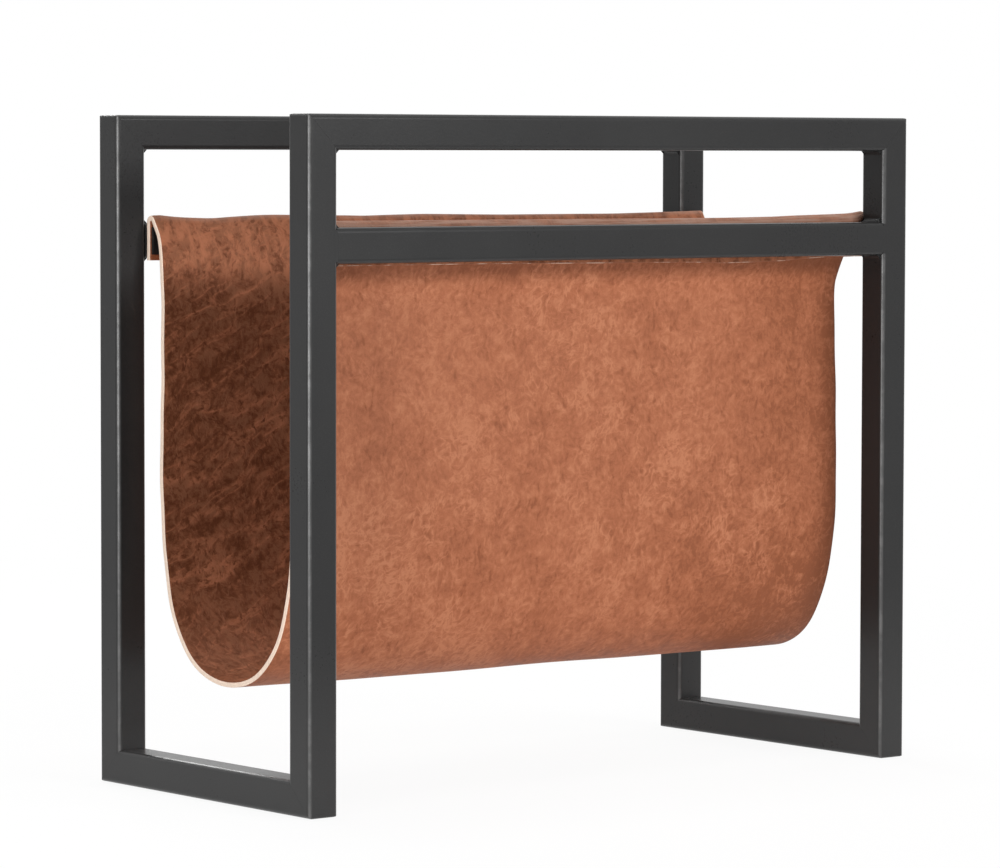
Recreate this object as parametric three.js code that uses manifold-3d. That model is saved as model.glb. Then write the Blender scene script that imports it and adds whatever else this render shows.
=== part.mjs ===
// Magazine basket: a welded frame of square steel tube with a leather sling between its two sling rails.
// Millimetres. X runs along the basket, Y from front to back, Z up. The origin is on the floor, under the middle.
import * as THREE from "three";
import { mergeVertices } from "three/addons/utils/BufferGeometryUtils.js";
import Module from "manifold-3d";

const wasm = await Module();
wasm.setup();

// Frame: outside sizes, tube and welds.
const FRAME_LENGTH = 452;
const FRAME_DEPTH = 207;
const FRAME_HEIGHT = 390;
const HAND_GAP = 43; // from the sling rail up to the top rail
const TUBE = 20;
const TUBE_WALL = 1.5;
const TUBE_EDGE_RADIUS = 2.8;
const GROUND_RADIUS = 1.8; // where the outer corners are ground round after welding
const CORNER_METAL_LEFT = 0.3; // the least share of a mitred corner's metal that grinding leaves
const WELD_SIZE = 2.6;
const WELD_FILL = 0.36; // how far a bead's hollow face is pulled into its corner: 0.5 would be flat
const MITRE_GAP = 0.05;

// Sling: one sheet of leather whose long edges fold outward over a crest and down the rails' inner faces.
const LEATHER = 2.8;
const SLING_END_GAP = 0.3; // from each end of the leather to the plane of the legs
const LEATHER_GAP = 0.3; // between the leather and the steel that it lies against
const FLAP_OVERHANG = 1.8; // how far a flap reaches below its rail
const FOLD_RADIUS = 0.9; // inside the fold
const CREST_RISE = 3.8; // of the crest over the rail, halfway along
const CREST_END_RISE = 5.4; // of the crest over the rail, at the sling's ends
const FOLD_SLANT = 30; // degrees from upright, where the panel leaves the crest
const NECK_SLANT = 19; // degrees from upright, where the panel passes the screw heads
const SLING_INSET = 17; // from the rails' inner faces in to the sling's outside, at its widest
const WAIST = 1.8; // how much each panel draws in between the rails and the bowl
const WAIST_PLACE = 0.21; // of the way down from the rails to the bowl
const BOWL_HEIGHT = 117;
const BOWL_FULLNESS = 0.68; // 0.55 is an ellipse, and 1 is square
const SLING_FLOOR_GAP = 61.7;
const SLING_LEAN = 3.7; // how far the bowl hangs towards the back
const LEAN_DROP = 20; // below the rails, where each panel has leant as far as the bowl

// Retaining strips inside the folds, with the screws that hold strip and flap to the rail.
const STRIP_HEIGHT = 16;
const STRIP_THICKNESS = 2;
const STRIP_END_INSET = 1.2; // from each end of the leather to the strip
const SCREW_DIAMETER = 3.9;
const SCREW_CLEARANCE = 0.2;
const SCREW_BITE = 5; // past the rail's wall
const SCREW_POINT = 2.5;
const SCREW_SEAT_GAP = 0.05;
const HEAD_DIAMETER = 7.5;
const HEAD_HEIGHT = 2.2;
const HEAD_RIM = 0.6;
const HEAD_CLEARANCE = 3.9; // from the screw heads to the panel in front of them
const SCREWS_PER_STRIP = 5;
const SCREW_END_MARGIN = 23; // from a strip's end to its first screw

// Facets.
const TUBE_ARC_STEPS = 5;
const FOLD_STEPS = 8;
const PANEL_STEPS = 4;
const BOWL_STEPS = 13;
const SLING_SPANS = 6;
const SCREW_SIDES = 16;
const HOLE_SIDES = 10;
const OVERRUN = 1; // how far a cutter reaches past what it cuts

// Levels and faces that several pieces share.
const slingRailTop = FRAME_HEIGHT - TUBE - HAND_GAP;
const slingRailMiddle = slingRailTop - TUBE / 2;
const slingRailBottom = slingRailTop - TUBE;
const legX = (FRAME_LENGTH - TUBE) / 2;
const legY = (FRAME_DEPTH - TUBE) / 2;
const betweenLegs = FRAME_LENGTH - 2 * TUBE;
const railInnerFace = FRAME_DEPTH / 2 - TUBE;
const slingLength = betweenLegs - 2 * SLING_END_GAP;
const flapMiddle = railInnerFace - LEATHER_GAP - LEATHER / 2;
const flapFoot = slingRailBottom - FLAP_OVERHANG;
const bowlTop = SLING_FLOOR_GAP + BOWL_HEIGHT;
const waistLevel = THREE.MathUtils.lerp(slingRailBottom, bowlTop, WAIST_PLACE);
const leanLevel = slingRailBottom - LEAN_DROP;
const stripOuterFace = railInnerFace - LEATHER - 2 * LEATHER_GAP;
const stripInnerFace = stripOuterFace - STRIP_THICKNESS;
const stripLength = slingLength - 2 * STRIP_END_INSET;
const headFace = stripInnerFace - SCREW_SEAT_GAP - HEAD_HEIGHT;

const SIDES = { left: -1, right: 1 };
const FACES = { front: -1, back: 1 };
const UP = new THREE.Vector3(0, 0, 1);

const frameSteel = new THREE.MeshStandardMaterial({ color: 0x3e3e3f, roughness: 0.5, metalness: 0.4 });
const weldSteel = new THREE.MeshStandardMaterial({ color: 0x3e3e3f, roughness: 0.6, metalness: 0.4 });
const tanLeather = new THREE.MeshStandardMaterial({ color: 0xaa6a4c, roughness: 0.6, metalness: 0 });
const stripSteel = new THREE.MeshStandardMaterial({ color: 0x2a2a2b, roughness: 0.5, metalness: 0.6 });
const screwSteel = new THREE.MeshStandardMaterial({ color: 0x1c1c1e, roughness: 0.4, metalness: 0.8 });

function solidOf(geometry) {
  const plain = geometry.clone();
  plain.deleteAttribute("normal");
  plain.deleteAttribute("uv");
  const merged = mergeVertices(plain);
  const vertProperties = merged.attributes.position.array;
  const triVerts = new Uint32Array(merged.index.array);
  return new wasm.Manifold(new wasm.Mesh({ numProp: 3, vertProperties, triVerts }));
}

function geometryOf(solid) {
  const mesh = solid.getMesh();
  const geometry = new THREE.BufferGeometry();
  geometry.setAttribute("position", new THREE.BufferAttribute(mesh.vertProperties, 3));
  geometry.setIndex(new THREE.BufferAttribute(mesh.triVerts, 1));
  geometry.computeVertexNormals();
  return geometry;
}

function piece(name, geometry, material, x, y, z) {
  const mesh = new THREE.Mesh(geometry, material);
  mesh.name = name;
  mesh.position.set(x, y, z);
  return mesh;
}

function roundedSquare(path, side, radius) {
  const centre = side / 2 - radius;
  for (let quarter = 0; quarter < 4; quarter++) {
    const start = (quarter * Math.PI) / 2;
    const x = centre * Math.sign(Math.cos(start + Math.PI / 4));
    const y = centre * Math.sign(Math.sin(start + Math.PI / 4));
    path.absarc(x, y, radius, start, start + Math.PI / 2);
  }
  return path;
}

// A length of square tube along Z, centred on the origin and open at both ends.
function tube(length) {
  const bore = TUBE - 2 * TUBE_WALL;
  const boreRadius = Math.max(TUBE_EDGE_RADIUS - TUBE_WALL, TUBE_WALL / 4);
  const section = roundedSquare(new THREE.Shape(), TUBE, TUBE_EDGE_RADIUS);
  section.holes.push(roundedSquare(new THREE.Path(), bore, boreRadius));
  const options = { depth: length, bevelEnabled: false, curveSegments: TUBE_ARC_STEPS };
  return new THREE.ExtrudeGeometry(section, options).translate(0, 0, -length / 2);
}

// The block that a mitre saw takes off: all that lies beyond a plane, given by a point on it and its normal.
function mitreBlock(point, normal) {
  const size = 4 * TUBE;
  const outward = normal.clone().normalize();
  const block = new THREE.BoxGeometry(size, size, size).translate(0, 0, (size - MITRE_GAP) / 2);
  block.applyQuaternion(new THREE.Quaternion().setFromUnitVectors(UP, outward));
  return solidOf(block.translate(point.x, point.y, point.z));
}

// What grinding takes off an outer corner where two tubes meet: its square edge, less a quarter round.
function groundEdge(corner, sideways, endways) {
  const mostRadius = (TUBE_WALL * (1 - CORNER_METAL_LEFT) * Math.SQRT2) / (Math.SQRT2 - 1);
  const radius = Math.min(GROUND_RADIUS, mostRadius);
  const outline = new THREE.Shape();
  outline.moveTo(OVERRUN, OVERRUN);
  outline.lineTo(-radius, OVERRUN);
  outline.absarc(-radius, -radius, radius, Math.PI / 2, 0, true);
  outline.lineTo(OVERRUN, -radius);
  const depth = TUBE + 2 * OVERRUN;
  const options = { depth, bevelEnabled: false, curveSegments: TUBE_ARC_STEPS };
  const bar = new THREE.ExtrudeGeometry(outline, options).translate(0, 0, -depth / 2);
  const along = new THREE.Vector3().crossVectors(sideways, endways);
  bar.applyMatrix4(new THREE.Matrix4().makeBasis(sideways, endways, along).setPosition(corner));
  return solidOf(bar);
}

// A leg, centred on its axis with its foot at Z = 0. It is mitred to a top rail in the XZ plane, and to a
// bottom rail in the YZ plane. side and face are the signs of the leg's X and Y.
function legGeometry(side, face) {
  const top = new THREE.Vector3((side * TUBE) / 2, 0, FRAME_HEIGHT);
  const foot = new THREE.Vector3(0, (face * TUBE) / 2, 0);
  const leg = solidOf(tube(FRAME_HEIGHT).translate(0, 0, FRAME_HEIGHT / 2))
    .subtract(mitreBlock(top, new THREE.Vector3(-side, 0, 1)))
    .subtract(mitreBlock(foot, new THREE.Vector3(0, -face, -1)))
    .subtract(groundEdge(top, new THREE.Vector3(side, 0, 0), UP))
    .subtract(groundEdge(foot, new THREE.Vector3(0, face, 0), UP.clone().negate()));
  return geometryOf(leg);
}

// A top rail along X, mitred at both ends so that its top is its long side.
function topRailGeometry() {
  let rail = solidOf(tube(FRAME_LENGTH).rotateY(Math.PI / 2));
  for (const side of Object.values(SIDES)) {
    const corner = new THREE.Vector3((side * FRAME_LENGTH) / 2, 0, TUBE / 2);
    rail = rail
      .subtract(mitreBlock(corner, new THREE.Vector3(side, 0, -1)))
      .subtract(groundEdge(corner, new THREE.Vector3(side, 0, 0), UP));
  }
  return geometryOf(rail);
}

// A bottom rail along Y, mitred at both ends so that its underside is its long side.
function bottomRailGeometry() {
  let rail = solidOf(tube(FRAME_DEPTH).rotateX(Math.PI / 2));
  for (const face of Object.values(FACES)) {
    const corner = new THREE.Vector3(0, (face * FRAME_DEPTH) / 2, -TUBE / 2);
    rail = rail
      .subtract(mitreBlock(corner, new THREE.Vector3(0, face, 1)))
      .subtract(groundEdge(corner, new THREE.Vector3(0, face, 0), UP.clone().negate()));
  }
  return geometryOf(rail);
}

function screwPlaces() {
  const span = stripLength - 2 * SCREW_END_MARGIN;
  return Array.from({ length: SCREWS_PER_STRIP }, (_, i) => span * (i / (SCREWS_PER_STRIP - 1) - 0.5));
}

// A cutter along Y for one screw hole, centred on the wall that it goes through.
function screwHole(x, y, z, wall) {
  const radius = SCREW_DIAMETER / 2 + SCREW_CLEARANCE;
  const length = wall + 2 * OVERRUN;
  return solidOf(new THREE.CylinderGeometry(radius, radius, length, HOLE_SIDES).translate(x, y, z));
}

// A sling rail along X, cut square to fit between two legs, with the screw holes in its inner wall.
function slingRailGeometry(face) {
  let rail = solidOf(tube(betweenLegs).rotateY(Math.PI / 2));
  for (const x of screwPlaces()) {
    rail = rail.subtract(screwHole(x, (-face * (TUBE - TUBE_WALL)) / 2, 0, TUBE_WALL));
  }
  return geometryOf(rail);
}

// A weld bead in the corner between two tubes, along Y over their flat width. It lies in the quarter where
// X and Z have the signs given, and its corner is at the origin.
function weldGeometry(towardsX, towardsZ) {
  const outline = new THREE.Shape();
  outline.moveTo(0, 0);
  outline.lineTo(WELD_SIZE, 0);
  outline.quadraticCurveTo(WELD_FILL * WELD_SIZE, WELD_FILL * WELD_SIZE, 0, WELD_SIZE);
  const depth = TUBE - 2 * TUBE_EDGE_RADIUS;
  const options = { depth, bevelEnabled: false, curveSegments: TUBE_ARC_STEPS };
  const bead = new THREE.ExtrudeGeometry(outline, options).translate(0, 0, -depth / 2);
  const x = new THREE.Vector3(towardsX, 0, 0);
  const z = new THREE.Vector3(0, 0, towardsZ);
  const [first, second] = towardsX * towardsZ > 0 ? [z, x] : [x, z];
  const along = new THREE.Vector3().crossVectors(first, second);
  return bead.applyMatrix4(new THREE.Matrix4().makeBasis(first, second, along));
}

// Adds a smooth bend to a path, from its end to a point, leaving and arriving in the directions given.
function bendTo(path, leaving, to, arriving) {
  const from = path.currentPoint.clone();
  const pull = from.distanceTo(to) / 3;
  const out = from.clone().addScaledVector(leaving, pull);
  const back = to.clone().addScaledVector(arriving, -pull);
  path.bezierCurveTo(out.x, out.y, back.x, back.y, to.x, to.y);
}

function downwards(degrees) {
  const angle = THREE.MathUtils.degToRad(degrees);
  return new THREE.Vector2(-Math.sin(angle), -Math.cos(angle));
}

// The middle line of half the sling, from the flap's edge over the crest and down to the middle of the bowl.
// Its first coordinate is the distance out from the middle plane, and its second is the height.
function halfMiddleLine(crestRise) {
  const foldRadius = FOLD_RADIUS + LEATHER / 2;
  const fold = new THREE.Vector2(flapMiddle - foldRadius, slingRailTop + crestRise - LEATHER / 2 - foldRadius);
  const neck = new THREE.Vector2(headFace - HEAD_CLEARANCE - LEATHER / 2, slingRailMiddle);
  const wide = railInnerFace - SLING_INSET - LEATHER / 2;
  const bowlFoot = SLING_FLOOR_GAP + LEATHER / 2;
  const waist = new THREE.Vector2(wide - WAIST, waistLevel);
  const line = new THREE.Path();
  line.moveTo(flapMiddle, flapFoot);
  line.lineTo(flapMiddle, fold.y);
  line.absarc(fold.x, fold.y, foldRadius, 0, Math.PI - THREE.MathUtils.degToRad(FOLD_SLANT));
  bendTo(line, downwards(FOLD_SLANT), neck, downwards(NECK_SLANT));
  bendTo(line, downwards(NECK_SLANT), waist, downwards(0));
  bendTo(line, downwards(0), new THREE.Vector2(wide, bowlTop), downwards(0));
  const bowlPull = BOWL_FULLNESS * (bowlTop - bowlFoot);
  line.bezierCurveTo(wide, bowlTop - bowlPull, wide * BOWL_FULLNESS, bowlFoot, 0, bowlFoot);
  return line;
}

// Points down a half's middle line, each with the direction of the line there and how far it leans to the
// back: nothing in the flap and fold, which the rail holds, and all of SLING_LEAN from leanLevel down.
function halfStations(crestRise) {
  const steps = [1, FOLD_STEPS, PANEL_STEPS, PANEL_STEPS, PANEL_STEPS, BOWL_STEPS];
  const { curves } = halfMiddleLine(crestRise);
  const foldEnd = curves[1].getPoint(1);
  const stations = [];
  curves.forEach((curve, index) => {
    const last = index === curves.length - 1 ? steps[index] : steps[index] - 1;
    for (let i = 0; i <= last; i++) {
      const at = curve.getPoint(i / steps[index]);
      const fallen = index < 2 ? 0 : foldEnd.y - at.y;
      const lean = SLING_LEAN * THREE.MathUtils.smoothstep(fallen, 0, foldEnd.y - leanLevel);
      stations.push({ at, along: curve.getTangent(i / steps[index]), lean });
    }
  });
  return stations;
}

// One side of the leather across the whole sling, from the back flap's edge to the front flap's, as Y and Z.
// turn is 1 for the side that faces the rail, covers the crest and lines the sling, and -1 for the other.
function sheetSide(stations, turn) {
  const out = (turn * LEATHER) / 2;
  const half = (face) =>
    stations.map(({ at, along, lean }) => [face * (at.x + out * along.y) + lean, at.y - out * along.x]);
  return [...half(FACES.back), ...half(FACES.front).reverse().slice(1)];
}

// The sling: its section changes along X only in the height of its crests, and the flaps are holed for screws.
function slingGeometry() {
  const points = [];
  const faces = [];
  let ring = 0;
  for (let span = 0; span <= SLING_SPANS; span++) {
    const place = (2 * span) / SLING_SPANS - 1;
    const crestRise = THREE.MathUtils.lerp(CREST_RISE, CREST_END_RISE, Math.abs(place) ** 3);
    const stations = halfStations(crestRise);
    const lining = sheetSide(stations, 1);
    const outside = sheetSide(stations, -1).reverse();
    const loop = [...lining, ...outside];
    ring = loop.length;
    for (const [y, z] of loop) {
      points.push((place * slingLength) / 2, y, z);
    }
  }
  const quad = (a, b, c, d) => faces.push(a, b, c, a, c, d);
  for (let span = 0; span < SLING_SPANS; span++) {
    for (let i = 0; i < ring; i++) {
      const next = (i + 1) % ring;
      quad(span * ring + i, span * ring + next, (span + 1) * ring + next, (span + 1) * ring + i);
    }
  }
  const far = SLING_SPANS * ring;
  for (let i = 0; i < ring / 2 - 1; i++) {
    const mate = ring - 1 - i;
    quad(i, mate, mate - 1, i + 1);
    quad(far + i, far + i + 1, far + mate - 1, far + mate);
  }
  const sheet = new THREE.BufferGeometry();
  sheet.setAttribute("position", new THREE.Float32BufferAttribute(points, 3));
  sheet.setIndex(faces);
  let sling = solidOf(sheet);
  for (const face of Object.values(FACES)) {
    for (const x of screwPlaces()) {
      sling = sling.subtract(screwHole(x, face * flapMiddle, slingRailMiddle, LEATHER));
    }
  }
  return geometryOf(sling);
}

// A retaining strip in the XZ plane, centred on the origin, with its screw holes.
function stripGeometry() {
  const radius = SCREW_DIAMETER / 2 + SCREW_CLEARANCE;
  const outline = new THREE.Shape();
  outline.moveTo(-stripLength / 2, -STRIP_HEIGHT / 2);
  outline.lineTo(stripLength / 2, -STRIP_HEIGHT / 2);
  outline.lineTo(stripLength / 2, STRIP_HEIGHT / 2);
  outline.lineTo(-stripLength / 2, STRIP_HEIGHT / 2);
  for (const x of screwPlaces()) {
    outline.holes.push(new THREE.Path().absarc(x, 0, radius, 0, 2 * Math.PI, true));
  }
  const options = { depth: STRIP_THICKNESS, bevelEnabled: false, curveSegments: HOLE_SIDES / 2 };
  const strip = new THREE.ExtrudeGeometry(outline, options).translate(0, 0, -STRIP_THICKNESS / 2);
  return strip.rotateX(Math.PI / 2);
}

// A low-headed thread-forming screw along Y: the underside of its head is at Y = 0 and its point is at +Y.
function screwGeometry() {
  const length = railInnerFace + TUBE_WALL + SCREW_BITE - stripInnerFace;
  const profile = new THREE.Path();
  profile.moveTo(0, -HEAD_HEIGHT);
  profile.quadraticCurveTo(HEAD_DIAMETER / 3, -HEAD_HEIGHT, HEAD_DIAMETER / 2, -HEAD_RIM);
  profile.lineTo(HEAD_DIAMETER / 2, 0);
  profile.lineTo(SCREW_DIAMETER / 2, 0);
  profile.lineTo(SCREW_DIAMETER / 2, length - SCREW_POINT);
  profile.lineTo(0, length);
  return new THREE.LatheGeometry(profile.getPoints(TUBE_ARC_STEPS), SCREW_SIDES);
}

function frame() {
  const group = new THREE.Group();
  for (const [faceName, face] of Object.entries(FACES)) {
    const topRail = topRailGeometry();
    group.add(piece(`top_rail_${faceName}`, topRail, frameSteel, 0, face * legY, FRAME_HEIGHT - TUBE / 2));
    const slingRail = slingRailGeometry(face);
    group.add(piece(`sling_rail_${faceName}`, slingRail, frameSteel, 0, face * legY, slingRailMiddle));
    for (const [sideName, side] of Object.entries(SIDES)) {
      const corner = `${faceName}_${sideName}`;
      group.add(piece(`leg_${corner}`, legGeometry(side, face), frameSteel, side * legX, face * legY, 0));
      const innerFace = (side * betweenLegs) / 2;
      const weldUnder = weldGeometry(-side, -1);
      const weldOver = weldGeometry(-side, 1);
      const topCorner = FRAME_HEIGHT - TUBE;
      group.add(piece(`weld_top_${corner}`, weldUnder, weldSteel, innerFace, face * legY, topCorner));
      group.add(piece(`weld_over_${corner}`, weldOver, weldSteel, innerFace, face * legY, slingRailTop));
      group.add(piece(`weld_under_${corner}`, weldUnder, weldSteel, innerFace, face * legY, slingRailBottom));
    }
  }
  for (const [sideName, side] of Object.entries(SIDES)) {
    group.add(piece(`bottom_rail_${sideName}`, bottomRailGeometry(), frameSteel, side * legX, 0, TUBE / 2));
  }
  return group;
}

// One strip with its screws, made for the back and turned half round for the front.
function fixing(faceName, face) {
  const group = new THREE.Group();
  const stripMiddle = (stripOuterFace + stripInnerFace) / 2;
  group.add(piece(`clamp_strip_${faceName}`, stripGeometry(), stripSteel, 0, stripMiddle, 0));
  screwPlaces().forEach((x, index) => {
    const name = `strip_screw_${faceName}_${index + 1}`;
    group.add(piece(name, screwGeometry(), screwSteel, x, stripInnerFace - SCREW_SEAT_GAP, 0));
  });
  group.rotation.z = face > 0 ? 0 : Math.PI;
  group.position.z = slingRailMiddle;
  return group;
}

const basket = new THREE.Group();
basket.add(frame());
basket.add(piece("leather_sling", slingGeometry(), tanLeather, 0, 0, 0));
for (const [faceName, face] of Object.entries(FACES)) {
  basket.add(fixing(faceName, face));
}

export default basket;
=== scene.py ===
import math

import bmesh
import bpy
import numpy as np
from bpy.props import FloatProperty, FloatVectorProperty, PointerProperty
from mathutils import Euler, Matrix, Vector


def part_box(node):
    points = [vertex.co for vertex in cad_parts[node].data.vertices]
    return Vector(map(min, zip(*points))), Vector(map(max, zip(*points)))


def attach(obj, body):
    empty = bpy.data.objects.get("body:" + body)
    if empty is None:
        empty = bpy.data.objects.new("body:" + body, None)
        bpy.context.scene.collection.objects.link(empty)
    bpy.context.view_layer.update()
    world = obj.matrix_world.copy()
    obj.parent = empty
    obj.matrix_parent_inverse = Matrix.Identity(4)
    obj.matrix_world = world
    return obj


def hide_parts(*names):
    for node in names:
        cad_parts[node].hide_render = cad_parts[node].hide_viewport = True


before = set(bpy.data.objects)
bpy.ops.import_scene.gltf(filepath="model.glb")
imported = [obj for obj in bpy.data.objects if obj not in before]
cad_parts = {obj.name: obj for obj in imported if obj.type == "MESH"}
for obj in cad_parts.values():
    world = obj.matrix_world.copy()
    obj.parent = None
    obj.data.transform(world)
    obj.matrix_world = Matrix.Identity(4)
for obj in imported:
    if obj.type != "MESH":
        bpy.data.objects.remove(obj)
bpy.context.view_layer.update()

bl_info = {
    "name": "Magazine basket",
    "version": (1, 0, 0),
    "blender": (4, 5, 0),
    "location": "3D View > Sidebar > Basket",
    "description": "Finishes, leather sling, fixings and studio for a welded magazine basket",
    "category": "Object",
}

BODY = "root"
MM = 0.001
SHEET_MAP = "sheet"  # the leather's own map, in metres along and down the sheet

RAIL_LOW, RAIL_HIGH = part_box("sling_rail_back")
SHEET_LOW, SHEET_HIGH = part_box("leather_sling")


def nodes_named(*starts):
    return [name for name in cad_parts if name.startswith(starts)]


def middle(name):
    low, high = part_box(name)
    return [(least + most) / 2 for least, most in zip(low, high)]


STEEL_NODES = nodes_named("leg_", "top_rail_", "sling_rail_", "bottom_rail_")
STRIP_NODES = nodes_named("clamp_strip_")
WELD_NODES = nodes_named("weld_")
SCREW_NODES = nodes_named("strip_screw_")

# Section of the hung sheet: distance out from the middle plane and height, slants in degrees.
FOLD_RADIUS = 2.3 * MM  # middle of the sheet round the clamp strip
FOLD_SLANT = 30
NECK = (70.55 * MM, 317 * MM)
NECK_SLANT = 19
WAIST = (63.3 * MM, 280.06 * MM)
BOWL_TOP = (65.1 * MM, 178.7 * MM)
LEAN_LEVEL = 287 * MM  # from here down the sheet leans by the full amount

# Divisions along the rails, and down the sheet from a flap's foot to the middle.
COLUMNS = 120
FLAP_STEPS, FOLD_STEPS, NECK_STEPS, WAIST_STEPS, PANEL_STEPS, BOWL_STEPS = 8, 14, 8, 14, 34, 48

# Waves of the hanging leather: strength, radians per metre along the rails and down the sheet, and
# start. They begin at a height and grow over a distance, as does the bowl's rise at its two ends.
WAVES = ((1.0, 31, 9, 0.7), (0.7, 17, -23, 2.1), (0.5, 58, 37, 0.0))
WAVE_TOP, WAVE_FADE = 300 * MM, 60 * MM
RISE_TOP, RISE_FADE = 200 * MM, 110 * MM
LEFT_RISE, RIGHT_RISE = 1.1 * MM, -0.5 * MM

# The right cut's run-out, a third as much at the front as at the back: distances in from the
# sheet's back and front ends, and the shares there from back to front.
RUN_BACK, RUN_FRONT = 45 * MM, (70 * MM, 38 * MM)
RUN_SHARES = (1.0, 1.0, 0.14, 0.0, 0.32, 0.32)
CUT_WANDER = 0.25 * MM

# Holes through the flaps, round the screws: radius, facets, and where they start and end.
HOLE_RADIUS, HOLE_SIDES = 2.15 * MM, 16
HOLE_SPAN = (80.2 * MM, 83.45 * MM)

# Zones of the leather's map: distances from the sheet's middle over which each sets in or fades.
# BOWL_FOOT: where the lining's bowl foot is given painted light.
BOWL_FOOT = (0.03, 0.11)
BOWL_SIDE_PAINTED_SHADE = (0.07, 0.14)
LIT_TOP = (0.256, 0.276)  # lining below the crest, painted lighter where light over the other rail reaches
RAIL_SHADE = (0.264, 0.277)  # outside, just under the rail
CREST_PAINTED_SHEEN = (0.299, 0.3055)
TUCKED_FLAP = (0.3085, 0.311)
SIDE_RIM = (0.187, 0.2055)
RIGHT_HALF_PAINTED_SHADE = (0.03, 0.2)
RIGHT_CUT_PAINTED_SHADE = (0.2045, 0.2075)

OUTSIDE, LINING, CUT_EDGE, FLAP_FOOT = range(4)  # slots of the leather's materials
ROUNDING = (0.62, 0.88, 1.0)  # share of the thickness in the first rows at a cut
ROUNDING_ROWS = np.array([0.0, 0.12, 0.5]) * MM  # how far those rows lie from the cut

WELD_GAP = 0.03 * MM  # between a bead and the tubes' faces
FILL_SLACK = 0.1 * MM  # what a fill's radius falls short of the tube's rounded edge
FILL_ENDS = 2 * MM  # what a fill's length falls short of the rail's height

# Screws: the shank's facets and taper, the point and the thread's depth as shares of the radius,
# the doming as a share of the head's height, and the sizes of a bar of the drive recess.
SHANK_SIDES = 18
SCREW_TAPER, SCREW_POINT, THREAD_DEPTH, HEAD_DOME = 2.6 * MM, 0.12, 0.24, 0.7
RECESS = (4.4 * MM, 0.95 * MM, 2.4 * MM)

# Name, place, and width and height of each lamp.
LAMPS = (
    ("key", (0.5, -1.78, 0.79), (0.8, 0.34)),
    ("side", (-1.25, -0.5, 0.25), (0.5, 0.3)),
    ("top", (0.0, 0.0, 2.4), (1.2, 1.2)),
    ("back", (0.3, 2.1, 1.0), (1.2, 0.6)),
    ("end", (2.1, 0.3, 0.9), (0.8, 0.6)),
)
LAMP_AIM = Vector((0.0, 0.0, 0.2))
FLOOR_REACH = 30.0
FLOOR_DROP = 0.2 * MM

# The camera's place, its turn to the right, tilt up and roll in degrees, and its lens in mm.
CAMERA_PLACE = (-1.7740, -2.2028, 0.3695)
CAMERA_AIM = (38.712, -3.412, 0.112)
CAMERA_LENS, CAMERA_SENSOR = 170.78, 36.0

# Rises of the crests above their rails and drops of the flaps' feet below: place and size in mm.
BACK_CREST = (
    (-206, 4.2), (-201, 5.5), (-195, 4.4), (-184, 3.6), (-171, 3.1), (-162, 2.8), (-152, 3.4),
    (-141, 4.0), (-130, 4.5), (-118, 4.7), (-90, 4.2), (-63, 3.9), (-50, 3.6), (-27, 4.1),
    (-5, 4.4), (25, 4.0), (56, 3.6), (143, 3.6), (163, 4.0), (183, 4.4), (206, 5.0),
)
FRONT_CREST = (
    (-206, 3.6), (92, 3.2), (117, 3.4), (137, 3.6), (150, 4.1), (165, 4.4), (182, 4.8), (195, 5.1),
    (201, 5.7), (206, 6.8),
)
BACK_FOOT = ((-206, 1.4), (-80, 2.4), (60, 1.6), (206, 2.2))
FRONT_FOOT = (
    (-206, 1.7), (-86, 1.9), (-28, 2.4), (70, 3.0), (95, 3.8), (115, 3.6), (144, 3.0), (160, 1.8),
    (178, 1.2), (206, 1.0),
)


def binary(operation, reflected=False):
    """A method that adds a Math node for a value and another operand, in either order."""

    def method(self, other):
        first, second = (other, self) if reflected else (self, other)
        return self.maths(operation, first, second)

    return method


class Value:
    """An output socket that takes part in Python arithmetic by adding Math nodes."""

    def __init__(self, wires, socket):
        self.wires = wires
        self.socket = socket

    def maths(self, operation, *values):
        return self.wires.node("ShaderNodeMath", {"operation": operation}, dict(enumerate(values)))

    __add__, __radd__ = binary("ADD"), binary("ADD", True)
    __sub__, __rsub__ = binary("SUBTRACT"), binary("SUBTRACT", True)
    __mul__, __rmul__ = binary("MULTIPLY"), binary("MULTIPLY", True)
    __truediv__, __rtruediv__ = binary("DIVIDE"), binary("DIVIDE", True)
    __pow__, __rpow__ = binary("POWER"), binary("POWER", True)
    lower, higher = binary("MINIMUM"), binary("MAXIMUM")
    above, angle, folded = binary("GREATER_THAN"), binary("ARCTAN2"), binary("PINGPONG")

    def __abs__(self):
        return self.maths("ABSOLUTE", self)

    def sine(self):
        return self.maths("SINE", self)

    def step(self, start, end, low=0.0, high=1.0):
        """Go smoothly from low, where the value is start, to high, where it is end."""
        return self.wires.node(
            "ShaderNodeMapRange",
            {"interpolation_type": "SMOOTHSTEP"},
            {"Value": self, "From Min": start, "From Max": end, "To Min": low, "To Max": high},
        )


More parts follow.
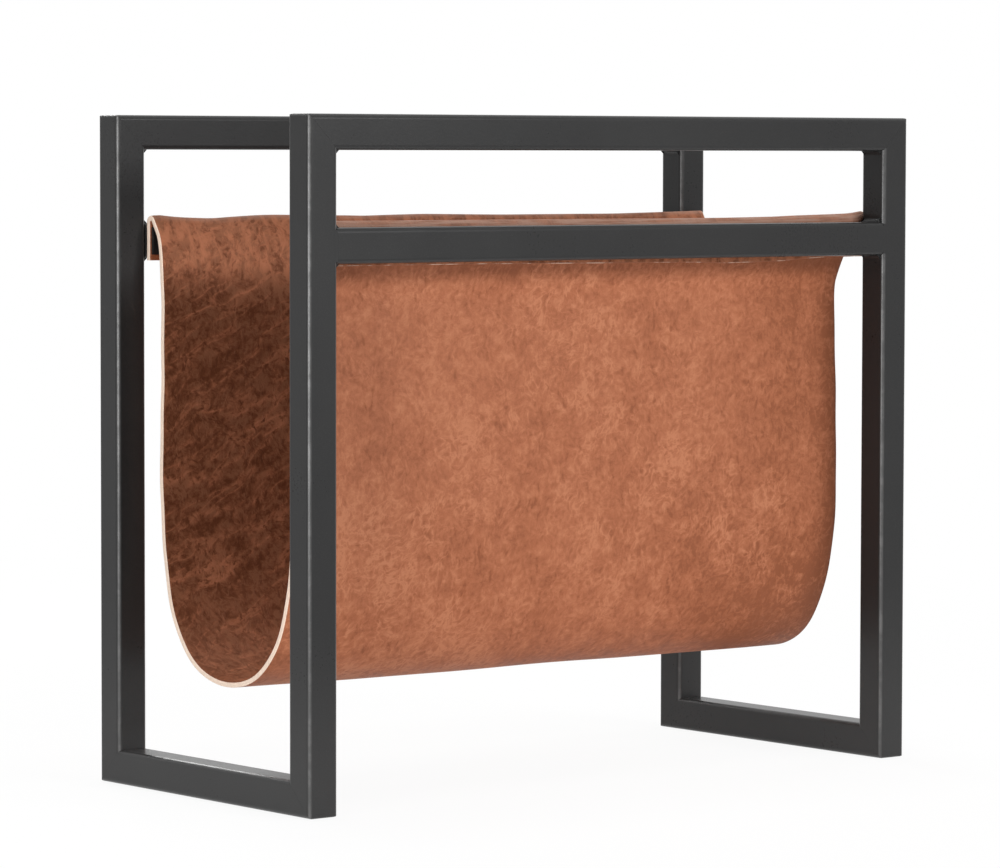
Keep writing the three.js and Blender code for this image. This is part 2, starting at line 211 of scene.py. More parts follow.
class Wires:
    """A node tree that is built one node at a time."""

    def __init__(self, tree):
        self.tree = tree
        tree.nodes.clear()

    @staticmethod
    def find(sockets, key):
        if isinstance(key, int):
            return sockets[key]
        return next(s for s in sockets if s.enabled and key in (s.identifier, s.name))

    def node(self, kind, settings=None, inputs=None, output=0):
        """Add a node, set what it does, then its sockets, and return one of its outputs."""
        made = self.tree.nodes.new(kind)
        for key, value in (settings or {}).items():
            if key == "stops":
                ramp = made.color_ramp
                while len(ramp.elements) < len(value):
                    ramp.elements.new(1.0)
                for element, (place, colour) in zip(ramp.elements, value):
                    element.position = place
                    element.color = colour
            else:
                setattr(made, key, value)
        for key, value in (inputs or {}).items():
            socket = self.find(made.inputs, key)
            for entry in value if isinstance(value, list) else [value]:
                if isinstance(entry, Value):
                    self.tree.links.new(entry.socket, socket)
                else:
                    socket.default_value = entry
        if not made.outputs:
            return made
        return Value(self, self.find(made.outputs, output))

    def place(self):
        return self.node("ShaderNodeTexCoord", output="Object")

    def length(self, vector):
        return self.node("ShaderNodeVectorMath", {"operation": "LENGTH"}, {0: vector}, "Value")

    def shift(self, vector, by, operation="ADD"):
        return self.node("ShaderNodeVectorMath", {"operation": operation}, {0: vector, 1: by})

    def blend(self, factor, first, second):
        """Mix two colours."""
        inputs = {"Factor": factor, "A": first, "B": second}
        return self.node("ShaderNodeMix", {"data_type": "RGBA"}, inputs, "Result")

    def axis(self, vector, letter):
        return self.node("ShaderNodeSeparateXYZ", None, {0: vector}, letter)

    def vector(self, x, y, z):
        return self.node("ShaderNodeCombineXYZ", None, {"X": x, "Y": y, "Z": z})

    def bump(self, height, depth, strength=1.0):
        inputs = {"Strength": strength, "Distance": depth, "Height": height}
        return self.node("ShaderNodeBump", None, inputs)

    def rod(self, sides, segments, radius, length, rings=1):
        """A cylinder along Z, of the given facets round, segments along and rings on its ends."""
        inputs = {"Vertices": sides, "Side Segments": segments, "Fill Segments": rings}
        inputs.update({"Radius": radius, "Depth": length})
        return self.node("GeometryNodeMeshCylinder", None, inputs, "Mesh")

    def reshaped(self, shape, place):
        return self.node("GeometryNodeSetPosition", None, {"Geometry": shape, "Position": place})

    def noise(self, vector, scale, detail=2, roughness=0.5):
        inputs = {"Vector": vector, "Scale": scale, "Detail": detail, "Roughness": roughness}
        return self.node("ShaderNodeTexNoise", None, inputs)

    def warped(self, vector, scale, reach):
        """Push a vector about by a slow noise, so that what follows it wanders."""
        inputs = {"Vector": vector, "Scale": scale, "Detail": 2}
        push = self.node("ShaderNodeTexNoise", None, inputs, "Color")
        push = self.shift(self.shift(push, (-0.5, -0.5, -0.5)), (reach, reach, reach), "MULTIPLY")
        return self.shift(vector, push)

    def turned(self, vector, degrees, x=1, y=1):
        """Turn a vector about Z, then scale it along the turned axes."""
        inputs = {"Vector": vector, "Rotation": (0, 0, math.radians(degrees))}
        spun = self.node("ShaderNodeMapping", {"vector_type": "POINT"}, inputs)
        return self.shift(spun, (x, y, 1), "MULTIPLY")

    def ridges(self, vector, scale, sharpness):
        """Thin wandering lines where a noise crosses its middle, 1 on the line and less off it."""
        return (1.0 - abs(2.0 * self.noise(vector, scale, 2, 0.55) - 1.0)) ** sharpness

    def cracks(self, vector, scale, width):
        """Thin lines along the borders of irregular cells, 1 on the line and 0 off it."""
        settings, inputs = {"feature": "DISTANCE_TO_EDGE"}, {"Vector": vector, "Scale": scale}
        edge = self.node("ShaderNodeTexVoronoi", settings, inputs, "Distance")
        return edge.step(0.0, width, 1.0, 0.0)


def opaque(colour, shade=1.0):
    return (*(shade * part for part in colour), 1.0)


WHITE = opaque((1.0, 1.0, 1.0))


def surface(name, fill):
    """Make a material; fill(wires) gives its shader, or a table of sockets for the usual one."""
    material = bpy.data.materials.new(name)
    material.use_nodes = True
    wires = Wires(material.node_tree)
    look = fill(wires)
    if isinstance(look, dict):
        look = wires.node("ShaderNodeBsdfPrincipled", None, look)
    wires.node("ShaderNodeOutputMaterial", None, {"Surface": look})
    return material


def linked(name, data):
    """Put an object in the scene."""
    made = bpy.data.objects.new(name, data)
    bpy.context.scene.collection.objects.link(made)
    return made


def modified(holder):
    """What an object's modifier makes of it, as a plain mesh."""
    shown = holder.evaluated_get(bpy.context.evaluated_depsgraph_get())
    return bpy.data.meshes.new_from_object(shown)


def dress(node_name, material):
    """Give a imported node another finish."""
    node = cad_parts[node_name]
    if not node.material_slots:
        node.data.materials.append(material)
    for slot in node.material_slots:
        slot.material = material


def piece(name, mesh, material_slot, *nodes):
    """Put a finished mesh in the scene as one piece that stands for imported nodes."""
    made = linked(name, mesh)
    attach(made, BODY)
    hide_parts(*nodes)
    return made


# What many properties share.
COLOUR = {"subtype": "COLOR", "size": 3, "min": 0.0, "max": 1.0}
SHARE = {"subtype": "FACTOR", "min": 0.0, "max": 1.0}
LENGTH = {"subtype": "DISTANCE", "unit": "LENGTH"}
POWER = {"subtype": "POWER", "unit": "POWER", "min": 0.0}


class BasketCoat(bpy.types.PropertyGroup):
    """Powder coat of the tubes and weld beads."""

    colour: FloatVectorProperty(
        name="Coat colour", description="Charcoal of the powder coat",
        default=(0.021, 0.021, 0.0213), **COLOUR,
    )
    # The rubbed colour is also used for the painted highlight on the upright edges and the painted
    # light near the floor.
    rubbed: FloatVectorProperty(
        name="Rubbed colour", description="Coat where it is rubbed or dusty",
        default=(0.10, 0.099, 0.098), **COLOUR,
    )
    roughness: FloatProperty(
        name="Roughness", description="Satin of the coat", default=0.3, **SHARE,
    )
    peel_depth: FloatProperty(
        name="Peel depth", description="Height of the coat's fine ripple",
        min=0.0, default=0.04 * MM, **LENGTH,
    )


class BasketWelds(bpy.types.PropertyGroup):
    """Weld beads in the frame's inner corners, and fills at the sling rails' joints."""

    ripple_pitch: FloatProperty(
        name="Ripple pitch", description="Distance from ripple to ripple along a bead",
        min=0.0002, default=1.6 * MM, **LENGTH,
    )
    seam: FloatProperty(
        name="Seam", description="Radius of the tubes' edges, which the flush welds fill up",
        min=0.0005, default=2.8 * MM, **LENGTH,
    )
    ripple_depth: FloatProperty(
        name="Ripple depth", description="Height that grinding has left on a ripple",
        min=0.0, default=0.05 * MM, **LENGTH,
    )


class BasketFixings(bpy.types.PropertyGroup):
    """Strips and screws inside the folds."""

    finish: FloatVectorProperty(
        name="Finish", description="Black of the strips and screws",
        default=(0.008, 0.008, 0.0085), **COLOUR,
    )
    head_diameter: FloatProperty(
        name="Head diameter", description="Width of a screw's head",
        min=0.004, default=7.5 * MM, **LENGTH,
    )
    head_height: FloatProperty(
        name="Head height", description="Height of a screw's head",
        min=0.0005, default=2.2 * MM, **LENGTH,
    )
    shank_diameter: FloatProperty(
        name="Shank diameter", description="Width over a screw's thread",
        min=0.001, default=3.9 * MM, **LENGTH,
    )
    thread_pitch: FloatProperty(
        name="Thread pitch", description="Distance from thread to thread",
        min=0.0005, default=1.4 * MM, **LENGTH,
    )


class BasketSling(bpy.types.PropertyGroup):
    """Shape of the hung leather sheet."""

    thickness: FloatProperty(
        name="Thickness", description="Thickness of the leather",
        min=0.001, default=2.8 * MM, **LENGTH,
    )
    fullness: FloatProperty(
        name="Fullness", description="How square the bowl's corners are",
        subtype="FACTOR", min=0.3, max=1.0, default=0.68,
    )
    lean: FloatProperty(
        name="Lean", description="How far the hanging sheet sits behind the middle",
        default=3.7 * MM, **LENGTH,
    )
    unevenness: FloatProperty(
        name="Unevenness", description="How much of the crests' and feet's waviness is kept",
        default=1.0, **SHARE,
    )
    buckle: FloatProperty(
        name="Buckle", description="Height of the slow waves in the hanging leather",
        min=0.0, default=0.45 * MM, **LENGTH,
    )
    run_out: FloatProperty(
        name="Run out", description="How far the right cut runs out of square at the back crest",
        default=13 * MM, **LENGTH,
    )


class BasketLeather(bpy.types.PropertyGroup):
    """Finish of the leather."""

    deep: FloatVectorProperty(
        name="Deep tan", description="Darkest of the mottling",
        default=(0.275, 0.086, 0.036), **COLOUR,
    )
    body: FloatVectorProperty(
        name="Tan", description="Main colour of the hide", default=(0.40, 0.135, 0.063), **COLOUR,
    )
    pale: FloatVectorProperty(
        name="Pale tan", description="Lightest of the mottling",
        default=(0.51, 0.198, 0.10), **COLOUR,
    )
    crease: FloatVectorProperty(
        name="Crease", description="Colour of the pulled creases",
        default=(0.50, 0.185, 0.095), **COLOUR,
    )
    # This colour is a painted sheen on the crests, where they catch the light.
    painted_sheen: FloatVectorProperty(
        name="Worn crest", description="Colour of the crests, where handling has taken the finish",
        default=(0.44, 0.26, 0.195), **COLOUR,
    )
    cut: FloatVectorProperty(
        name="Cut edge", description="Raw colour of the cut edge",
        default=(1.0, 0.79, 0.64), **COLOUR,
    )
    # Painted shade: the lining is the same hide painted darker than the outside.
    lining_painted_shade: FloatProperty(
        name="Lining shade", description="How dark the lining is beside the outside",
        subtype="FACTOR", min=0.1, max=1.0, default=0.43,
    )
    lining_contrast: FloatProperty(
        name="Lining contrast", description="How much stronger the lining's grain is",
        min=0.5, max=4.0, default=2.6,
    )
    grain_depth: FloatProperty(
        name="Grain depth", description="Height of the grain", min=0.0, default=0.14 * MM, **LENGTH,
    )
    roughness: FloatProperty(
        name="Roughness", description="Sheen of the hide", default=0.6, **SHARE,
    )


class BasketStudio(bpy.types.PropertyGroup):
    """Floor and light."""

    floor: FloatVectorProperty(
        name="Floor", description="Colour of the floor", default=(0.9, 0.9, 0.9), **COLOUR,
    )
    shadow: FloatProperty(
        name="Shadow", description="How much of the floor's own shading shows",
        default=0.08, **SHARE,
    )
    sky: FloatProperty(
        name="Sky", description="Strength of the light from all round", min=0.0, default=0.04,
    )
    key: FloatProperty(name="Key", description="Power of the front light", default=19.0, **POWER)
    side: FloatProperty(
        name="Side", description="Power of the low light on the left", default=6.9, **POWER,
    )
    top: FloatProperty(name="Top", description="Power of the overhead light", default=36.0, **POWER)
    back: FloatProperty(name="Back", description="Power of the light behind", default=22.0, **POWER)
    end: FloatProperty(
        name="End", description="Power of the light at the right end", default=9.0, **POWER,
    )


def powder_coat(name, settings, lumps):
    """Satin powder coat, finely rippled, with dust specks, painted lighter near the floor and with
    a painted highlight on its upright edges; lumps makes it a weld's.
    """

    def fill(wires):
        place = wires.place()
        facing = wires.node("ShaderNodeNewGeometry", output="Normal")
        spread = wires.node("ShaderNodeVectorMath", {"operation": "ABSOLUTE"}, {0: facing})
        sides = [wires.axis(spread, letter) for letter in "XYZ"]
        widest = sides[0].higher(sides[1]).higher(sides[2])
        # Upright rounded edges: painted lighter as a painted highlight, and given a clear coat.
        edge = (1.0 - widest).step(0.01, 0.2) * sides[2].step(0.05, 0.3, 1.0, 0.12)
        cloud = wires.noise(place, 9, 4, 0.6)
        speck = wires.noise(place, 1500, 2, 0.6)
        peel = wires.noise(place, 620, 3, 0.55)
        scuff = wires.noise(place, 85, 5, 0.7).step(0.42, 0.66)
        painted_sheen = edge * (0.55 + 0.45 * scuff)
        # Painted light: the coat is painted lighter towards the floor; the cloud and specks are
        # random dust.
        low = wires.axis(place, "Z").step(0.0, 0.13, 1.0, 0.0)
        dust_and_floor_light = 0.22 * low * (0.8 + 0.4 * cloud)
        dust_and_floor_light = dust_and_floor_light + cloud.step(0.35, 0.7, 0.0, 0.03) + speck.step(0.5, 0.8, 0.0, 0.11)
        dusted_and_floor_lit = wires.blend(dust_and_floor_light, opaque(settings.colour), opaque(settings.rubbed))
        height = peel + 0.35 * speck + lumps * wires.noise(place, 330, 3, 0.6)
        return {
            "Base Color": wires.blend(painted_sheen, dusted_and_floor_lit, opaque(settings.rubbed)),
            "Roughness": settings.roughness + 0.16 * (cloud - 0.5) + 0.1 * (peel - 0.5),
            "Specular IOR Level": 0.2,
            "Coat Weight": edge * (0.5 + 0.3 * scuff),
            "Coat Roughness": 0.3,
            "Normal": wires.bump(height, settings.peel_depth),
        }

    return surface(name, fill)


def black_finish(name, settings):
    """Black-finished steel with faint brushing, thin where handling has rubbed it."""

    def fill(wires):
        place = wires.place()
        bloom = wires.noise(place, 60, 5, 0.65)
        brushed = wires.noise(wires.turned(place, 0, 0.06), 2400, 3, 0.6)
        rubbed = bloom.step(0.5, 0.72) * brushed.step(0.45, 0.7)
        thin = opaque(settings.finish, 3.2)
        return {
            "Base Color": wires.blend(rubbed, opaque(settings.finish), thin),
            "Roughness": 0.34 + 0.2 * bloom + 0.08 * brushed,
            "Specular IOR Level": 0.4,
            "Normal": wires.bump(brushed, 0.02 * MM, 0.5),
        }

    return surface(name, fill)


def hide(name, settings, lining):
    """Waxed tan hide, with painted light and shade. The lining, which also covers the crests, is
    painted darker as shade and is more creased.
    """
    # The lining's shade is painted shade; its lift is a stronger grain.
    shade, lift = (settings.lining_painted_shade, settings.lining_contrast) if lining else (1.0, 1.0)
    tans = (settings.deep, settings.body, settings.pale)

    def fill(wires):
        sheet = wires.node("ShaderNodeUVMap", {"uv_map": SHEET_MAP})
        across = wires.axis(sheet, "X")
        down = abs(wires.axis(sheet, "Y"))
        sheet = wires.shift(sheet, (3.7, 1.9, 0.4) if lining else (0, 0, 0))
        wander = wires.warped(sheet, 30, 0.012)
        curled = wires.warped(wander, 120, 0.006)
        cloud = wires.noise(wander, 13, 4, 0.6)
        mottle = wires.noise(wander, 80, 4, 0.62)
        curdle = wires.noise(curled, 300, 3, 0.62)
        streak = wires.noise(wires.turned(wander, 3, 1, 0.4), 460, 3, 0.62)
        pore = wires.noise(sheet, 1300)
        wriggle = wires.ridges(wires.turned(curled, 12, 1, 0.7), 170, 11)
        hair = wires.ridges(wires.turned(curled, -20, 0.5), 230, 14)
        patch = wires.noise(sheet, 16, 3, 0.6).step(0.4, 0.6)
        scatter = wires.noise(sheet, 48, 3, 0.6).step(0.42, 0.62)
        stroke = wires.noise(wires.turned(wander, -4, 1, 0.4), 260).step(0.56, 0.74)
        craze = wires.cracks(wires.turned(curled, -12, 1, 0.7), 190, 0.11)
        fine = 0.9 * (mottle - 0.5) + 1.05 * (curdle - 0.5)
        fine = fine + 0.4 * (streak - 0.5) + 0.3 * (pore - 0.5)
        lines = 0.6 * wriggle * scatter + 0.42 * hair * patch + 0.08 * craze * (1.0 - 0.7 * patch)
        tone = 0.44 + 0.75 * (cloud - 0.5) - 0.14 * abs(across).step(*SIDE_RIM)
        if lining:
            crease = wires.ridges(wires.turned(wander, 24, 0.2), 44, 16)
            fold = wires.ridges(wires.turned(wander, 31, 0.22), 85, 14)
            # Painted light: where light over the other rail reaches, the lining is painted lighter,
            # with more contrast and paler creases.
            crest = down.step(*LIT_TOP)
            # Painted light: paler creases at the bowl's foot, where light from above falls.
            painted_lit_bowl = down.step(*BOWL_FOOT, 1.0, 0.0)
            pulled = wires.noise(wires.turned(curled, 5, 1, 0.45), 150, 4, 0.65).step(0.4, 0.64)
            # Painted sheen: the crest's top is painted paler and greyer, in fine streaks along the
            # rail.
            drag = wires.noise(wires.turned(sheet, 0, 0.04), 900).step(0.4, 0.6, 0.45, 1.0)
            painted_sheen = drag * down.step(*CREST_PAINTED_SHEEN) * down.step(*TUCKED_FLAP, 1.0, 0.0)
            mottling = lift * (1.0 + 0.4 * crest) * (fine + 0.35 * lines - 0.12 * stroke)
            tone = tone + mottling + (0.2 + 0.4 * pulled) * crest
            drawn = 0.7 * crease * scatter + 0.45 * fold * (1.0 - scatter)
            drawn = (drawn * curdle.step(0.3, 0.52)).higher(crest * (0.1 + 0.55 * pulled))
            drawn = drawn.higher(painted_lit_bowl * (0.08 + 0.2 * pulled))
        else:
            zone = wires.noise(sheet, 7).step(0.4, 0.6, 0.4, 1.0)
            tone = tone + fine + zone * lines - 0.3 * stroke * (1.0 - 0.6 * patch)
            # Painted shade: the right half is painted darker, most of all near the bowl's lower
            # side.
            tone = tone - across.step(*RIGHT_HALF_PAINTED_SHADE) * (0.15 + 0.25 * down.step(*BOWL_SIDE_PAINTED_SHADE, 1.0, 0.0))
            # Painted shadow just under the rail, and painted shade along the right cut where the
            # edge turns away.
            tone = tone - 0.3 * down.step(*RAIL_SHADE) - 0.5 * across.step(*RIGHT_CUT_PAINTED_SHADE)
            drawn = 0.25 * wriggle * patch
        stops = [(at, opaque(tan, shade)) for at, tan in zip((0.1, 0.5, 0.9), tans)]
        colour = wires.node("ShaderNodeValToRGB", {"stops": stops}, {"Fac": tone}, "Color")
        colour = wires.blend(drawn, colour, opaque(settings.crease))
        if lining:
            colour = wires.blend(painted_sheen, colour, opaque(settings.painted_sheen))
        height = 0.5 * (curdle + streak + mottle) + 0.2 * pore + 0.3 * wriggle
        height = height - 0.3 * stroke - 0.2 * craze + 0.6 * drawn
        return {
            "Base Color": colour,
            "Roughness": settings.roughness + 0.3 * (mottle - 0.5) + 0.12 * (pore - 0.5),
            "Specular IOR Level": 0.1 if lining else 0.2,
            "Normal": wires.bump(height, 0.9 * lift * settings.grain_depth),
        }

    return surface(name, fill)


def raw_edge(name, settings, shaded):
    """Cut edge of the hide: pale fibres, with random soil. A shaded one, at the flaps' feet under
    the rails, is painted brown as shade and is pale only in places.
    """

    def fill(wires):
        sheet = wires.node("ShaderNodeUVMap", {"uv_map": SHEET_MAP})
        fibre = wires.noise(wires.turned(sheet, 0, 0.25), 2300, 3, 0.6)
        soil_and_shade = wires.noise(sheet, 75 if shaded else 140, 4, 0.65)
        soil_and_shade = soil_and_shade.step(0.46, 0.62, 1.0, 0.55) if shaded else soil_and_shade.step(0.55, 0.8, 0.0, 0.3)
        dark, pale = opaque(settings.cut, 0.85), opaque(settings.cut)
        colour = wires.blend(fibre.step(0.25, 0.7), dark, pale)
        colour = wires.blend(soil_and_shade, colour, opaque(settings.body, 0.7))
        bump = wires.bump(fibre, 0.12 * MM, 0.8)
        return {"Base Color": colour, "Roughness": 0.75 + 0.15 * fibre, "Normal": bump}

    return surface(name, fill)


def tree_with(name, sizes):
    """Start a Geometry Nodes tree with float inputs; return its wires and what it is given."""
    tree = bpy.data.node_groups.new(name, "GeometryNodeTree")
    tree.interface.new_socket("Geometry", in_out="INPUT", socket_type="NodeSocketGeometry")
    for size in sizes:
        tree.interface.new_socket(size, in_out="INPUT", socket_type="NodeSocketFloat")
    tree.interface.new_socket("Geometry", in_out="OUTPUT", socket_type="NodeSocketGeometry")
    wires = Wires(tree)
    start = tree.nodes.new("NodeGroupInput")
    return wires, {socket.name: Value(wires, socket) for socket in start.outputs if socket.name}


def repeated(wires, given, shape, material):
    """End a tree: put the shape on every given point, turned as the point says, as one mesh."""
    settings = {"data_type": "FLOAT_VECTOR"}
    turn = wires.node("GeometryNodeInputNamedAttribute", settings, {"Name": "turn"}, "Attribute")
    spin = wires.node("FunctionNodeEulerToRotation", None, {0: turn})
    inputs = {"Points": given["Geometry"], "Instance": shape, "Rotation": spin}
    rows = wires.node("GeometryNodeInstanceOnPoints", None, inputs)
    real = wires.node("GeometryNodeRealizeInstances", None, {"Geometry": rows})
    ended = wires.node("GeometryNodeSetMaterial", None, {"Geometry": real, "Material": material})
    wires.node("NodeGroupOutput", None, {"Geometry": ended})


def grown(name, points, turns, tree, values):
    """Run a tree on points that carry their turns, and return what it makes as a plain mesh."""
    seeds = bpy.data.meshes.new(name + "_points")
    seeds.from_pydata(points, [], [])
    turn = seeds.attributes.new("turn", "FLOAT_VECTOR", "POINT")
    turn.data.foreach_set("vector", np.ravel(turns))
    holder = linked(name + "_points", seeds)
    modifier = holder.modifiers.new(name, "NODES")
    modifier.node_group = tree
    for item in tree.interface.items_tree:
        if item.in_out == "INPUT" and item.name in values:
            modifier[item.identifier] = values[item.name]
    mesh = modified(holder)
    mesh.name = name
    bpy.data.objects.remove(holder)
    bpy.data.meshes.remove(seeds)
    if not mesh.polygons:
        raise RuntimeError(f"{name} came out empty")
    return mesh


def bead_tree(material):
    """One ground fillet along Y in the corner of +X and +Z, laid in every corner."""
    sizes = ("Radius", "Length", "Ripple Pitch", "Ripple Depth", "Clearance")
    wires, given = tree_with("weld bead", sizes)
    rod = wires.rod(32, 48, 1.0, given["Length"])
    inputs = {"Geometry": rod, "Rotation": (math.pi / 2, 0, 0)}
    laid = wires.node("GeometryNodeTransform", None, inputs)
    at = wires.node("GeometryNodeInputPosition")
    x, y, z = (wires.axis(at, letter) for letter in "XYZ")
    # Place on the rod's rim in turns: up to arc it becomes the fillet's arc, after it its two legs.
    arc, nudge = 0.75, 0.0001
    turn = z.angle(x) / (2 * math.pi) + 1.0 + nudge
    turn = turn.maths("FRACT", turn)
    backed = turn.above(arc + 2 * nudge)
    fronted = 1.0 - backed
    sweep = (turn / arc).lower(1.0) * (math.pi / 2)
    leg = (turn - arc) * (2 / (1 - arc))
    wobble = wires.noise(at, 420)
    ripple = (2 * math.pi * (y / given["Ripple Pitch"] + 0.4 * wobble)).sine()
    swell = given["Ripple Depth"] * ripple * (2.0 * sweep).sine()
    over = fronted * (1.0 - sweep.sine()) + backed * (leg - 1.0).higher(0.0)
    up = fronted * (1.0 - sweep.maths("COSINE", sweep)) + backed * (1.0 - leg).higher(0.0)
    reach, gap = given["Radius"], given["Clearance"]
    shaped = wires.vector(gap + over * reach + swell, y, gap + up * reach + swell)
    repeated(wires, given, wires.reshaped(laid, shaped), material)
    return wires.tree


def screw_tree(material):
    """One thread-forming screw, its head's underside at 0 and its point up Z, at every place."""
    sizes = ("Head Radius", "Head Height", "Shank Radius", "Shank Length", "Pitch")
    wires, given = tree_with("strip screw", sizes)
    at = wires.node("GeometryNodeInputPosition")
    x, y, z = (wires.axis(at, letter) for letter in "XYZ")
    reach = wires.length(wires.shift(at, (1, 1, 0), "MULTIPLY"))

    length = given["Shank Length"]
    height = z + length / 2
    turns = height / given["Pitch"] + y.angle(x) / (2 * math.pi) + 1.0
    ridge = turns.folded(0.5) * 2.0
    taper = (length - height).step(0.0, SCREW_TAPER, SCREW_POINT, 1.0)
    radius = given["Shank Radius"] * (1.0 - THREAD_DEPTH + THREAD_DEPTH * ridge**2.0) * taper
    swept = wires.vector(x * radius, y * radius, height)
    shank = wires.reshaped(wires.rod(SHANK_SIDES, 72, 1.0, length), swept)

    wide, high = given["Head Radius"], given["Head Height"]
    depth = high / 2 - z
    crown = depth / high * ((reach / wide) ** 2.0) * high * HEAD_DOME
    domed = wires.vector(x, y, crown - depth)
    head = wires.reshaped(wires.rod(28, 3, wide, high, 5), domed)
    slots = []
    for size in (RECESS, (RECESS[1], RECESS[0], RECESS[2])):
        bar = wires.node("GeometryNodeMeshCube", None, {"Size": size}, "Mesh")
        inputs = {"Geometry": bar, "Translation": wires.vector(0, 0, -1 * high)}
        slots.append(wires.node("GeometryNodeTransform", None, inputs))
    settings = {"operation": "DIFFERENCE", "solver": "EXACT"}
    recessed = wires.node("GeometryNodeMeshBoolean", settings, {0: head, 1: slots}, "Mesh")
    screw = wires.node("GeometryNodeJoinGeometry", None, {"Geometry": [shank, recessed]})
    repeated(wires, given, screw, material)
    return wires.tree


def ease(share):
    share = np.clip(share, 0, 1)
    return share * share * (3 - 2 * share)


def heading(degrees):
    """The direction down and inwards at a slant off the vertical."""
    angle = math.radians(degrees)
    return np.array([-math.sin(angle), -math.cos(angle)])


def bend(start, leaving, end, arriving, steps, pulls=None):
    """Points of a smooth bend, without its start; pulls are its strengths at its two ends."""
    start, end = np.array(start), np.array(end)
    pulls = pulls or [np.linalg.norm(end - start) / 3] * 2
    out, back = start + heading(leaving) * pulls[0], end - heading(arriving) * pulls[1]
    t = np.linspace(0, 1, steps + 1)[1:, None]
    near, far = (1 - t) ** 3 * start + t**3 * end, 3 * (1 - t) * t
    return near + far * ((1 - t) * out + t * back)


def half_section(settings, rise, drop):
    """Half of the sheet's middle line, from the flap's foot over the crest to the bowl's middle."""
    half_thick = settings.thickness / 2
    flap = SHEET_HIGH.y - half_thick
    fold = np.array([flap - FOLD_RADIUS, RAIL_HIGH.z + rise - half_thick - FOLD_RADIUS])
    foot = RAIL_LOW.z - drop
    rows = np.linspace(0, 1, FLAP_STEPS + 1)[1:] * (fold[1] - foot)
    rows = np.concatenate([ROUNDING_ROWS, rows])
    straight = np.stack([np.full(len(rows), flap), foot + rows], 1)
    angles = np.radians(np.linspace(0, 180 - FOLD_SLANT, FOLD_STEPS + 1)[1:])
    arc = fold + FOLD_RADIUS * np.stack([np.cos(angles), np.sin(angles)], 1)
    bowl_foot = SHEET_LOW.z + half_thick
    pulls = [settings.fullness * reach for reach in (BOWL_TOP[1] - bowl_foot, BOWL_TOP[0])]
    hung = np.concatenate([
        bend(arc[-1], FOLD_SLANT, NECK, NECK_SLANT, NECK_STEPS),
        bend(NECK, NECK_SLANT, WAIST, 0, WAIST_STEPS),
        bend(WAIST, 0, BOWL_TOP, 0, PANEL_STEPS),
        bend(BOWL_TOP, 0, (0.0, bowl_foot), 90, BOWL_STEPS, pulls),
    ])
    fallen = (arc[-1, 1] - hung[:, 1]) / (arc[-1, 1] - LEAN_LEVEL)
    lean = settings.lean * ease(fallen)
    held = np.concatenate([straight, arc])
    return np.concatenate([held, hung]), np.concatenate([np.zeros(len(held)), lean])


def along_edge(table, places, keep):
    """Sizes along a rail at the given places, eased between a table's; a low keep flattens them."""
    reach, half_window, spread = 230, 12, 3.2
    fine = np.arange(-reach, reach + 1, 1.0)
    sizes = np.interp(fine, *np.array(table, float).T)
    window = np.exp(-0.5 * (np.arange(-half_window, half_window + 1) / spread) ** 2)
    sizes = np.pad(sizes, half_window, mode="edge")
    eased = np.convolve(sizes, window / window.sum(), mode="valid")
    return (eased.mean() + keep * (np.interp(places / MM, fine, eased) - eased.mean())) * MM


def hung_sheet(settings):
    """Middle surface of the sheet as columns by rows of points, its half thickness and its map."""
    half_length, margin = SHEET_HIGH.x, 3 * MM
    inner = np.linspace(margin - half_length, half_length - margin, COLUMNS)
    ends = ROUNDING_ROWS - half_length
    places = np.concatenate([ends, inner, -ends[::-1]])
    tables = (BACK_CREST, BACK_FOOT, FRONT_CREST, FRONT_FOOT)
    edges = [along_edge(table, places, settings.unevenness) for table in tables]
    columns = []
    for place, back_rise, back_drop, front_rise, front_drop in zip(places, *edges):
        back, back_lean = half_section(settings, back_rise, back_drop)
        front, front_lean = half_section(settings, front_rise, front_drop)
        y = np.concatenate([back[:, 0] + back_lean, (front_lean - front[:, 0])[-2::-1]])
        z = np.concatenate([back[:, 1], front[-2::-1, 1]])
        columns.append(np.stack([np.full(len(y), place), y, z], 1))
    points = np.array(columns)
    steps = np.linalg.norm(np.diff(points[len(places) // 2], axis=0), axis=1)
    down = np.concatenate([[0.0], np.cumsum(steps)])
    down -= down[len(down) // 2]

    x, z = points[..., 0], points[..., 2]
    hang = ease((WAVE_TOP - z) / WAVE_FADE)
    waves = sum(size * np.sin(x * run + down * fall + start) for size, run, fall, start in WAVES)
    sideways = np.gradient(points[..., 1], axis=1), np.gradient(points[..., 2], axis=1)
    length = np.hypot(*sideways)
    buckle = settings.buckle * hang * waves / sum(wave[0] for wave in WAVES)
    points[..., 1] += buckle * sideways[1] / length
    points[..., 2] -= buckle * sideways[0] / length
    share = x / half_length
    rise = ease((RISE_TOP - z) / RISE_FADE) * np.where(share < 0, LEFT_RISE, RIGHT_RISE)
    points[..., 2] += rise * share**2

    back, front = down[0], down[-1]
    insets = [front - inset for inset in RUN_FRONT]
    run = np.interp(down, [back, back + RUN_BACK, 0.0, *insets, front], RUN_SHARES)
    points[..., 0] += settings.run_out * run * np.clip(share, 0, 1) ** 3
    wander = CUT_WANDER * (np.sin(down * 70) + 0.6 * np.sin(down * 163 + 1.0))
    points[..., 0] += wander * share**9

    half_thick = settings.thickness / 2
    by_column, by_row = np.ones(len(places)), np.ones(len(down))
    for line in (by_column, by_row):
        line[:3], line[-3:] = ROUNDING, ROUNDING[::-1]
    thick = half_thick * np.minimum(by_column[:, None], by_row[None, :])
    return points, thick, down


